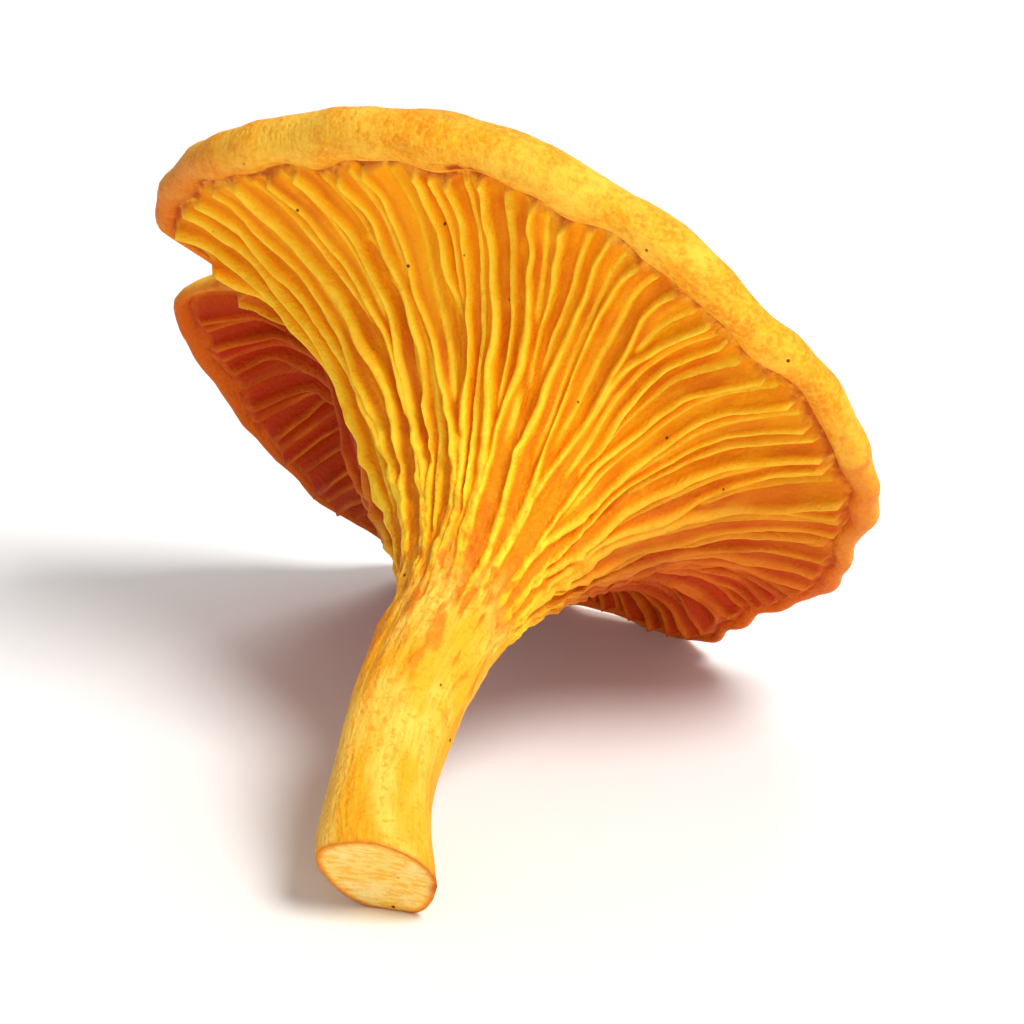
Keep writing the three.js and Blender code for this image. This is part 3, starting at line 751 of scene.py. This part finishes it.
@dataclass(frozen=True)
class ReliefTree:
    """Geometry nodes that raise the ridges and the fine lumps from the smooth skin."""

    ridge_height: float = 1.5 * MM
    crest_wobble: float = 0.24 * MM
    crown_lumps: float = 0.32 * MM
    stalk_lumps: float = 0.20 * MM
    root_folds: float = 0.5 * MM
    grain: float = 0.07 * MM
    seed: int = 7

    def sizes(self) -> dict[str, float]:
        """Return the tree's named numbers."""
        return {
            "Ridge Height": self.ridge_height,
            "Crest Wobble": self.crest_wobble,
            "Crown Lumps": self.crown_lumps,
            "Stalk Lumps": self.stalk_lumps,
            "Root Folds": self.root_folds,
            "Grain": self.grain,
            "Seed": float(self.seed),
        }

    def build(self) -> bpy.types.NodeTree:
        """Build the geometry node tree, with named inputs for its sizes."""
        tree = bpy.data.node_groups.new("Ridge relief", "GeometryNodeTree")
        face = tree.interface
        face.new_socket("Geometry", in_out="INPUT", socket_type="NodeSocketGeometry")
        for name in self.sizes():
            face.new_socket(name, in_out="INPUT", socket_type="NodeSocketFloat")
        face.new_socket("Finish", in_out="INPUT", socket_type="NodeSocketMaterial")
        face.new_socket("Geometry", in_out="OUTPUT", socket_type="NodeSocketGeometry")
        n = Nodes(tree)
        given = n.add("NodeGroupInput").outputs
        place = n.add("GeometryNodeInputPosition").outputs[0]
        relief, crest = n.named("relief"), n.named("crest")
        crown, stalk = n.named(Zone.CROWN.value), n.named(Zone.STALK.value)
        lift = n.named("lift", "FLOAT_VECTOR")
        flow = n.named("flow", "FLOAT_VECTOR")
        height = n.math("MULTIPLY", relief, given["Ridge Height"])
        layers = (
            (n.noise(place, 560.0, 5.0, given["Seed"]), crest, given["Crest Wobble"]),
            (root_folds(n, flow), n.named("root"), given["Root Folds"]),
            (n.noise(place, 150.0, 3.0, given["Seed"]), crown, given["Crown Lumps"]),
            (n.along(flow, 0.35, 0.45, 3.0, given["Seed"]), stalk, given["Stalk Lumps"]),
            (n.noise(place, 1100.0, 3.0, given["Seed"]), 1.0, given["Grain"]),
        )
        for swell, share, size in layers:
            swell = n.math("MULTIPLY", n.math("SUBTRACT", swell, 0.5), 2.0)
            height = n.math("ADD", height, n.math("MULTIPLY", n.math("MULTIPLY", swell, share), size))
        moved = n.add("GeometryNodeSetPosition")
        n.feed(moved, "Geometry", given["Geometry"])
        n.feed(moved, "Offset", n.scaled(lift, height))
        real = n.add("GeometryNodeRealizeInstances")
        n.feed(real, "Geometry", moved.outputs[0])
        shade = n.add("GeometryNodeSetShadeSmooth")
        n.feed(shade, "Geometry", real.outputs[0])
        finish = n.add("GeometryNodeSetMaterial")
        n.feed(finish, "Geometry", shade.outputs[0])
        n.feed(finish, "Material", given["Finish"])
        n.feed(n.add("NodeGroupOutput"), "Geometry", finish.outputs[0])
        return tree

    def apply(self, piece: bpy.types.Object, material: bpy.types.Material) -> None:
        """Run the tree on a piece and keep the result as its plain mesh.

        Args:
            piece: The piece with the smooth skin.
            material: The finish that the tree sets.
        """
        modifier = piece.modifiers.new("Ridge relief", "NODES")
        modifier.node_group = self.build()
        keep_result(piece, modifier, {**self.sizes(), "Finish": material})


def keep_result(piece: bpy.types.Object, modifier: bpy.types.Modifier, values: dict[str, object]) -> None:
    """Set a node modifier's named inputs, run it and keep the result as the piece's plain mesh.

    Args:
        piece: The piece that carries the modifier.
        modifier: The geometry nodes modifier.
        values: What each named input is set to.
    """
    for item in modifier.node_group.interface.items_tree:
        if item.item_type == "SOCKET" and item.in_out == "INPUT" and item.name in values:
            modifier[item.identifier] = values[item.name]
    piece.update_tag()
    bpy.context.view_layer.update()
    graph = bpy.context.evaluated_depsgraph_get()
    result = bpy.data.meshes.new_from_object(piece.evaluated_get(graph))
    piece.modifiers.remove(modifier)
    old = piece.data
    name = old.name
    piece.data = result
    bpy.data.meshes.remove(old)
    result.name = name


@dataclass(frozen=True)
class FleshFinish:
    """The colours and surface of fresh chanterelle flesh."""

    valley: Colour = linear(245, 156, 5)
    deep_valley: Colour = linear(222, 116, 4)
    flank: Colour = linear(249, 174, 12)
    crest: Colour = linear(254, 208, 50)
    crown: Colour = linear(248, 168, 22)
    crown_pale: Colour = linear(252, 198, 66)
    crown_burnt: Colour = linear(230, 126, 14)
    stalk: Colour = linear(249, 174, 34)
    stalk_pale: Colour = linear(252, 200, 78)
    stalk_streak: Colour = linear(242, 154, 22)
    cut: Colour = linear(253, 214, 112)
    cut_core: Colour = linear(255, 232, 158)
    cut_rim: Colour = linear(230, 134, 26)
    # Painted shade: the dark red that shadow gives the lobes behind the notch, laid into the colour of
    # valleys and crests.
    deep_valley_painted_shade: Colour = linear(178, 26, 6)
    deep_crest_painted_shade: Colour = linear(208, 84, 10)
    # Painted shade in the valleys near the neck and beside each ridge.
    pit: Colour = linear(208, 104, 4)
    # Painted shade in the hollows of the low folds where the ridges run on to the stem.
    root_hollow_shade: Colour = linear(214, 112, 8)
    # Bruise colour, also used as painted shadow in the crease under the roll.
    bruise: Colour = linear(178, 62, 8)
    speck: Colour = linear(104, 50, 12)
    # Strengths of the painted crevice shade and the painted lobe shade.
    pit_strength: float = 0.8
    painted_shade_strength: float = 0.9
    roughness: float = 0.58
    subsurface: float = 0.22
    subsurface_reach: float = 1.3 * MM

    def build(self) -> bpy.types.Material:
        """Build the finish as one material that reads the skin's marks."""
        material = bpy.data.materials.new("Chanterelle flesh")
        material.use_nodes = True
        material.node_tree.nodes.clear()
        n = Nodes(material.node_tree)
        place = n.scaled(n.add("ShaderNodeTexCoord").outputs["Object"], 1000.0)
        flow = n.mark("flow", vector=True)
        colour = self._ridges(n, place, flow)
        # Painted shade in the hollows between the low folds on the stem.
        hollow_shade = n.math("MULTIPLY", n.remap(root_folds(n, flow), 0.52, 0.36), n.mark("root"))
        for zone, paint in ((Zone.CROWN, self._crown), (Zone.STALK, self._stalk), (Zone.CUT, self._cut)):
            colour = n.mix(n.mark(zone.value), colour, paint(n, place, flow))
        colour = n.mix(n.math("MULTIPLY", hollow_shade, self.pit_strength), colour, self.root_hollow_shade)
        brown = n.remap(n.noise(place, 0.9, 3.0, 61.0), 0.36, 0.6, 0.2, 1.0)
        # Real bruises, with painted shadow in the crease under the roll.
        colour = n.mix(n.math("MULTIPLY", n.mark("bruise"), brown), colour, self.bruise)
        colour = n.mix(self._specks(n, place), colour, self.speck)
        shader = n.add("ShaderNodeBsdfPrincipled")
        n.feed(shader, "Base Color", colour)
        shader.subsurface_method = "BURLEY"
        shader.inputs["Roughness"].default_value = self.roughness
        shader.inputs["Subsurface Weight"].default_value = self.subsurface
        shader.inputs["Subsurface Radius"].default_value = (1.0, 0.36, 0.09)
        shader.inputs["Subsurface Scale"].default_value = self.subsurface_reach
        shader.inputs["Specular IOR Level"].default_value = 0.13
        n.feed(shader, "Normal", self._bump(n, place, flow))
        out = n.add("ShaderNodeOutputMaterial")
        n.feed(out, "Surface", shader.outputs[0])
        return material

    def _ridges(self, n: Nodes, place: object, flow: object) -> object:
        """Return the colour of the underside: pale crests over deep orange valleys, with painted shade near
        the neck, beside each ridge and on the lobes.
        """
        streak = n.along(flow, 0.16, 1.6, 4.0, 3.0)
        patch = n.noise(place, 0.12, 2.0, 5.0)
        low = n.mix(n.remap(patch, 0.35, 0.7), self.valley, self.deep_valley)
        low = n.mix(n.remap(streak, 0.40, 0.70, 0.0, 0.7), low, self.flank)
        # Painted crevice shade near the neck and beside each ridge.
        low = n.mix(n.math("MULTIPLY", n.mark("pit"), self.pit_strength), low, self.pit)
        crest = n.mark("crest")
        lifted = n.math("ADD", crest, n.math("MULTIPLY", n.math("SUBTRACT", streak, 0.5), 0.35))
        side = n.mix(n.remap(lifted, 0.1, 0.5), low, self.flank)
        worn = n.remap(n.noise(place, 0.55, 2.0, 6.0), 0.3, 0.6, 0.45, 1.0)
        lit = n.mix(n.math("MULTIPLY", n.remap(lifted, 0.35, 0.9), worn), side, self.crest)
        fading = n.remap(n.noise(place, 0.16, 1.0, 7.0), 0.4, 0.6, 0.2, 1.0)
        deep = n.math("MULTIPLY", n.remap(lifted, 0.2, 0.9), fading)
        deep = n.mix(deep, self.deep_valley_painted_shade, self.deep_crest_painted_shade)
        # Painted shade: the lobes take darker, redder shadow colours.
        return n.mix(n.math("MULTIPLY", n.mark("shade"), self.painted_shade_strength), lit, deep)

    def _crown(self, n: Nodes, place: object, flow: object) -> object:
        """Return the colour of the cap's skin: mottled golden, paler on swells and burnt in dents."""
        broad = n.noise(place, 0.2, 2.0, 11.0)
        fine = n.noise(place, 1.3, 5.0, 12.0)
        base = n.mix(n.remap(broad, 0.36, 0.68, 0.0, 0.8), self.crown, self.crown_pale)
        dents = n.math("ADD", n.math("MULTIPLY", broad, 0.35), n.math("MULTIPLY", fine, 0.65))
        base = n.mix(n.remap(dents, 0.62, 0.32, 0.0, 0.75), base, self.crown_burnt)
        base = n.mix(n.remap(n.noise(place, 2.6, 4.0, 13.0), 0.38, 0.74, 0.0, 0.6), base, self.crown_pale)
        fibril = n.along(flow, 0.1, 1.1, 3.0, 14.0)
        depth = n.mark("tone")
        streaked = n.math("MULTIPLY", n.remap(fibril, 0.44, 0.66), n.remap(depth, 0.0, 0.35))
        base = n.mix(n.math("MULTIPLY", streaked, 0.45), base, self.crown_burnt)
        base = n.mix(n.math("MULTIPLY", depth, 0.45), base, self.crown_burnt)
        # Painted shade on the rolled edge, from the lobes and from the side turned away from the light.
        return n.mix(n.math("MULTIPLY", n.mark("shade"), self.painted_shade_strength), base, self.deep_crest_painted_shade)

    def _stalk(self, n: Nodes, place: object, flow: object) -> object:
        """Return the colour of the stem: yellow with orange fibres along it."""
        fibre = n.along(flow, 0.12, 2.6, 3.0, 21.0)
        broad = n.along(flow, 0.5, 0.25, 2.0, 22.0)
        base = n.mix(n.remap(broad, 0.4, 0.62), self.stalk, self.stalk_pale)
        mottle = n.along(flow, 1.3, 1.5, 4.0, 23.0)
        base = n.mix(n.remap(mottle, 0.47, 0.34, 0.0, 0.65), base, self.stalk_streak)
        return n.mix(n.remap(fibre, 0.46, 0.72, 0.0, 0.6), base, self.stalk_streak)

    def _cut(self, n: Nodes, place: object, flow: object) -> object:
        """Return the colour of the cut face: pale flesh with an orange rim."""
        grain = n.noise(n.vector("MULTIPLY", place, (0.35, 1.0, 1.6)), 2.0, 4.0, 31.0)
        patch = n.noise(place, 0.4, 2.0, 32.0)
        base = n.mix(n.remap(grain, 0.42, 0.62, 0.0, 0.75), self.cut, self.stalk)
        base = n.mix(n.remap(patch, 0.45, 0.7, 0.0, 0.5), base, self.cut_core)
        return n.mix(n.remap(n.mark("tone"), 0.84, 1.0), base, self.cut_rim)

    def _specks(self, n: Nodes, place: object) -> object:
        """Return a mask of small dark specks of soil."""
        cells = n.add("ShaderNodeTexVoronoi", feature="F1")
        n.feed(cells, "Vector", place)
        cells.inputs["Scale"].default_value = 0.36
        near = n.remap(cells.outputs["Distance"], 0.075, 0.045)
        chosen = n.remap(n.noise(place, 0.15, 1.0, 41.0), 0.50, 0.54)
        return n.math("MULTIPLY", near, chosen)

    def _bump(self, n: Nodes, place: object, flow: object) -> object:
        """Return the surface direction with fine felt, fibres and pores."""
        felt = n.noise(place, 2.6, 3.0, 51.0)
        fibre = n.along(flow, 0.14, 2.4, 2.0, 52.0)
        bump = n.add("ShaderNodeBump")
        bump.inputs["Strength"].default_value = 0.8
        bump.inputs["Distance"].default_value = 0.4 * MM
        n.feed(bump, "Height", n.math("ADD", n.math("MULTIPLY", felt, 0.6), n.math("MULTIPLY", fibre, 0.5)))
        return bump.outputs[0]


@dataclass
class MushroomBody:
    """The mushroom's whole skin, from the cut foot to the bottom of the funnel."""

    form: MushroomForm = field(default_factory=MushroomForm)
    finish: FleshFinish = field(default_factory=FleshFinish)
    relief: ReliefTree = field(default_factory=ReliefTree)
    underside_rows: int = 76
    edge_columns: int = 300
    edge_rows: int = 12
    top_rows: int = 34
    stem_columns: int = 200
    stem_rows: int = 48
    cut_rows: int = 8
    brown_end: float = math.radians(-6.0)
    brown_end_half_width: float = 0.35
    brown_end_strength: float = 0.9
    # Strength of the painted shadow in the crease under the roll.
    crease_shadow_strength: float = 0.85
    bruise_half_width: float = 1.5
    bruise_half_height: float = 0.012
    roll_to_underside: float = 0.21
    # Angles of the lobes that painted shade darkens and reddens.
    painted_shade_angles: tuple[float, ...] = (168.0, 182.0, 308.0, 392.0)
    bruises: tuple[tuple[float, float, float], ...] = (
        (82.0, 1.035, 1.6),
        (79.0, 1.035, 1.0),
        (66.0, 0.99, 0.4),
        (31.0, 0.985, 0.5),
        (140.0, 0.98, 0.5),
    )
    # Angles over which painted shade darkens the side of the rolled edge turned away from the light.
    roll_shade_angles: tuple[float, float] = (112.0, 160.0)

    def build(self) -> bpy.types.Object:
        """Build, raise and dress the skin, and place it where the solid lies.

        Returns:
            The finished piece.
        """
        self.fan = RidgeFan(self.form)
        skin = Skin()
        top_of_stem = self._add_stem(skin)
        edge = self._add_underside(skin, top_of_stem)
        self._add_top(skin, edge)
        piece = bpy.data.objects.new("mushroom_skin", skin.to_mesh("mushroom_skin", self._shift(skin)))
        bpy.context.collection.objects.link(piece)
        self.relief.apply(piece, self.finish.build())
        self._settle(piece)
        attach(piece, BODY)
        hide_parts(NODE)
        LOG.info("mushroom skin: %d points, %d faces", len(piece.data.vertices), len(piece.data.polygons))
        return piece

    def _shift(self, skin: Skin) -> np.ndarray:
        """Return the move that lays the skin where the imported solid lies, in millimetres."""
        low, high = (np.array(corner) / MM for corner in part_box(NODE))
        places = np.vstack(skin.points)
        shift = (low + high) / 2.0 - (places.min(0) + places.max(0)) / 2.0
        shift[2] = low[2] - self.form.ground_level
        return shift

    def _settle(self, piece: bpy.types.Object) -> None:
        """Flatten what would sink into the ground, so the skin rests on it."""
        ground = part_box(NODE)[0][2]
        for vertex in piece.data.vertices:
            vertex.co.z = max(vertex.co.z, ground)
        piece.data.update()

    def _flow(self, angle: np.ndarray, radius: float, length: np.ndarray | float) -> np.ndarray:
        """Return places on an even tube, in millimetres, for patterns that follow the fibres."""
        along = np.broadcast_to(np.asarray(length, float), angle.shape)
        return np.stack([np.cos(angle) * radius, np.sin(angle) * radius, along], axis=-1)

    def _painted_shade(self, angle: np.ndarray) -> np.ndarray:
        """Return the strength of painted shade that darkens and reddens the flesh, deepest behind the notch
        and near the ground.
        """
        begin, full, ease, end = self.painted_shade_angles
        place = (np.degrees(angle) - 100.0) % 360.0 + 100.0
        return smooth(begin, full, place) * (1.0 - smooth(ease, end, place))

    def _bruise(self, angle: np.ndarray, s: float, crease: float) -> np.ndarray:
        """Return how brown the skin is: small bruises by the edge, and painted shadow in the crease under
        the roll.
        """
        # Painted shadow in the crease under the roll.
        brown = np.full_like(angle, self.crease_shadow_strength * crease)
        for place, height, strength in self.bruises:
            away = (np.degrees(angle) - place) / self.bruise_half_width
            above = (s - height) / self.bruise_half_height
            brown = np.maximum(brown, strength * np.exp(-(away**2) - above**2))
        return brown

    def _roll_side_shade(self, angle: np.ndarray) -> np.ndarray:
        """Return how far painted shade darkens the rolled edge on the side turned away from the light; the
        side towards the notch is deepest.
        """
        return 0.7 * smooth(*self.roll_shade_angles, np.degrees(angle) % 360.0)

    def _add_stem(self, skin: Skin) -> Ring:
        """Add the cut face and the stem.

        Args:
            skin: The skin to add to.

        Returns:
            The stem's last ring.
        """
        form = self.form
        angle = np.arange(self.stem_columns) / self.stem_columns * TURN
        rim = form.stem(angle, np.zeros_like(angle))
        facing = np.broadcast_to(form.cut_facing, rim.shape)
        middle = form.foot_centre - form.cut_facing * form.cut_dish
        ids, _ = skin.ring(angle[:1], middle[None], facing[:1], np.zeros((1, 3)), cut=1.0)
        below = None
        away = np.angle(np.exp(1j * (angle - self.brown_end))) / self.brown_end_half_width
        brown_end = self.brown_end_strength * np.exp(-(away**2))
        for row in range(1, self.cut_rows + 1):
            share = row / self.cut_rows
            points = form.foot_centre + (rim - form.foot_centre) * min(share, 0.985)
            points = points - form.cut_facing * form.cut_dish * (1.0 - smooth(0.3, 0.97, share))
            flow = self._flow(angle, 4.0 * share, 0.0)
            brown = brown_end * float(smooth(0.7, 1.0, share))
            ring = skin.ring(angle, points, facing, flow, cut=1.0, tone=share, bruise=brown)
            if below is None:
                skin.close(ring, int(ids[0]), False)
            else:
                skin.strip(below, ring)
            below = ring
        length = float(np.linalg.norm(form.neck_centre - form.foot_centre))
        for row in range(self.stem_rows + 1):
            t = np.full_like(angle, row / self.stem_rows * 0.965)
            points = form.stem(angle, t)
            normals = self._normals(form.stem, angle, t)
            cut = 0.6 * (1.0 - smooth(0.0, 0.02, t))
            flow = self._flow(angle, 5.0, t * length - length)
            root = 0.15 + 0.85 * smooth(0.45, 0.98, t + 0.06 * np.sin(5 * angle + 1.0))
            brown = brown_end * (1.0 - smooth(0.0, 0.06, t))
            marks = {"stalk": 1.0, "cut": cut, "tone": 0.97, "root": root, "bruise": brown}
            ring = skin.ring(angle, points, normals, flow, **marks)
            skin.strip(below, ring)
            below = ring
        return below

    def _normals(self, surface: object, angle: np.ndarray, s: np.ndarray) -> np.ndarray:
        """Return the outward direction of a surface given by angle and place."""
        step = 1e-3
        round_ = surface(angle + step, s) - surface(angle - step, s)
        up = surface(angle, np.minimum(s + step, 1.0)) - surface(angle, np.maximum(s - step, 0.0))
        normal = np.cross(up, round_)
        normal = -normal if surface == self.form.stem else normal
        return normal / np.linalg.norm(normal, axis=-1, keepdims=True)

    def _add_underside(self, skin: Skin, below: Ring) -> Ring:
        """Add the underside with its ridges.

        Args:
            skin: The skin to add to.
            below: The stem's last ring.

        Returns:
            The underside's last ring.
        """
        form = self.form
        rows = np.linspace(0.0, 1.0, self.underside_rows)[:, None] ** 0.97 * 0.995
        grid = self.fan.columns(rows)
        angle = grid["angle"]
        s = np.broadcast_to(rows, angle.shape)
        points = form.underside(angle, s)
        normals = self._normals(form.underside, angle, s)
        for row in range(self.underside_rows):
            here = float(rows[row, 0])
            edge = smooth(0.984, 0.992, here)
            ragged = here + waves(STALK_BORDER, angle[row])
            stalk = 1.0 - smooth(-0.02, 0.17, ragged)
            root = 1.0 - float(smooth(0.08, 0.42, here))
            flow = self._flow(angle[row], 5.0 + 9.0 * float(smooth(0.0, 0.5, here)), 36.0 * here)
            # Painted shade on the lobes behind the notch and near the ground.
            shade = self._painted_shade(angle[row]) * smooth(0.12, 0.42, here)
            ring = skin.ring(
                angle[row],
                points[row],
                normals[row],
                flow,
                relief=grid["relief"][row],
                crest=grid["crest"][row],
                pit=grid["pit"][row],
                root=root,
                # Bruises, and painted shadow in the crease under the roll.
                bruise=self._bruise(angle[row], here, float(smooth(0.982, 0.992, here))),
                shade=shade,
                stalk=stalk,
                crown=edge,
            )
            if row == 0:
                skin.zip(below, ring)
            else:
                skin.strip(below, ring)
            below = ring
        return below

    def _add_top(self, skin: Skin, below: Ring) -> None:
        """Add the rolled edge and the funnel.

        Args:
            skin: The skin to add to.
            below: The underside's last ring.
        """
        form = self.form
        angle = np.arange(self.edge_columns) / self.edge_columns * TURN
        out = form.outward(angle)
        for row in range(self.edge_rows + 1):
            q = row / self.edge_rows
            start = math.pi + form.edge_tuck
            round_ = start + (form.roll_ends - start) * q
            normals = math.cos(round_) * out + math.sin(round_) * form.axis
            flow = self._flow(angle, 14.0, 36.0 + 5.0 * q)
            # Painted shade on the rolled edge: on the lobes behind the notch, and on the side turned away
            # from the light.
            shade = np.maximum(self._painted_shade(angle), self._roll_side_shade(angle)) * (1.0 - smooth(0.35, 0.8, q))
            # Bruises, and painted shadow in the crease where the roll meets the underside.
            crease = self._bruise(angle, 1.0 + self.roll_to_underside * q, 1.0 - float(smooth(0.0, 0.07, q)))
            points = form.rolled_edge(angle, q)
            ring = skin.ring(angle, points, normals, flow, crown=1.0, shade=shade, bruise=crease)
            if row == 0:
                skin.zip(below, ring)
            else:
                skin.strip(below, ring)
            below = ring
        facing = np.broadcast_to(form.axis, out.shape)
        for row in range(1, self.top_rows):
            q = row / self.top_rows
            every = 4 if q > 0.88 else 2 if q > 0.7 else 1
            part = angle[::every]
            flow = self._flow(part, 14.0, 41.0 + 30.0 * q)
            depth = smooth(0.25, 1.0, q)
            ring = skin.ring(part, form.top(part, q), facing[::every], flow, crown=1.0, tone=depth)
            if len(part) == len(below[0]):
                skin.strip(below, ring)
            else:
                skin.zip(below, ring)
            below = ring
        bottom = form.top(angle[:1], 1.0)
        flow = self._flow(angle[:1], 14.0, 71.0)
        ids, _ = skin.ring(angle[:1], bottom, facing[:1], flow, crown=1.0, tone=1.0)
        skin.close(below, int(ids[0]), True)


@dataclass(frozen=True)
class StudioFloor:
    """A plain pale floor."""

    reach: float = 3.0
    colour: Colour = linear(246, 245, 243)

    def build(self) -> None:
        """Build the floor as a stage, not part of the object."""
        r = self.reach
        mesh = bpy.data.meshes.new("floor")
        mesh.from_pydata([(-r, -r, 0.0), (r, -r, 0.0), (r, r, 0.0), (-r, r, 0.0)], [], [(0, 1, 2, 3)])
        floor = bpy.data.objects.new("floor", mesh)
        bpy.context.collection.objects.link(floor)
        material = bpy.data.materials.new("Pale floor")
        material.use_nodes = True
        shader = material.node_tree.nodes["Principled BSDF"]
        shader.inputs["Base Color"].default_value = self.colour
        shader.inputs["Roughness"].default_value = 0.85
        shader.inputs["Specular IOR Level"].default_value = 0.2
        mesh.materials.append(material)
        LOG.info("floor: %.1f m wide", 2.0 * r)


@dataclass(frozen=True)
class StudioLight:
    """Soft studio light: a bright surround and large panels."""

    surround: float = 0.36
    panels: tuple[tuple[tuple[float, float, float], float, float], ...] = (
        ((0.62, -0.50, 1.15), 0.60, 17.8),
        ((0.12, -0.66, 0.16), 0.30, 1.1),
        ((0.10, 0.75, 0.75), 0.60, 3.0),
    )

    def build(self) -> None:
        """Build the surround and the panels, each aimed at the mushroom."""
        world = bpy.data.worlds.new("Studio")
        bpy.context.scene.world = world
        world.use_nodes = True
        back = world.node_tree.nodes["Background"]
        back.inputs["Color"].default_value = (1.0, 1.0, 1.0, 1.0)
        back.inputs["Strength"].default_value = self.surround
        for number, (place, size, power) in enumerate(self.panels):
            data = bpy.data.lights.new(f"panel_{number}", "AREA")
            data.shape = "DISK"
            data.size = size
            data.energy = power
            lamp = bpy.data.objects.new(f"panel_{number}", data)
            lamp.location = place
            aim = Vector((0.0, 0.0, 0.03)) - Vector(place)
            lamp.rotation_euler = aim.to_track_quat("-Z", "Y").to_euler()
            bpy.context.collection.objects.link(lamp)
        LOG.info("light: %d panels", len(self.panels))


@dataclass(frozen=True)
class PhotoCamera:
    """The camera at the photograph's viewing angle."""

    elevation: float = math.radians(24.0)
    distance: float = 0.52
    view_width: float = 0.084
    aim: tuple[float, float, float] = (0.0, -0.0034, 0.0226)

    def build(self) -> None:
        """Build the camera and make it the scene's own."""
        data = bpy.data.cameras.new("photo_camera")
        data.sensor_width = 36.0
        data.lens = 36.0 * self.distance / self.view_width
        data.clip_start = 0.01
        camera = bpy.data.objects.new("photo_camera", data)
        back = Vector((0.0, -math.cos(self.elevation), math.sin(self.elevation)))
        camera.location = Vector(self.aim) + back * self.distance
        camera.rotation_euler = (math.pi / 2.0 - self.elevation, 0.0, 0.0)
        bpy.context.collection.objects.link(camera)
        bpy.context.scene.camera = camera
        LOG.info("camera: lens %.0f mm", data.lens)


def main() -> None:
    """Build the mushroom, its floor, the light and the camera."""
    logging.basicConfig(level=logging.INFO, format="%(name)s: %(message)s")
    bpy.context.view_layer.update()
    bpy.context.scene.view_settings.view_transform = "Standard"
    PhotoCamera().build()
    StudioLight().build()
    StudioFloor().build()
    MushroomBody().build()


if __name__ == "__main__":
    main()
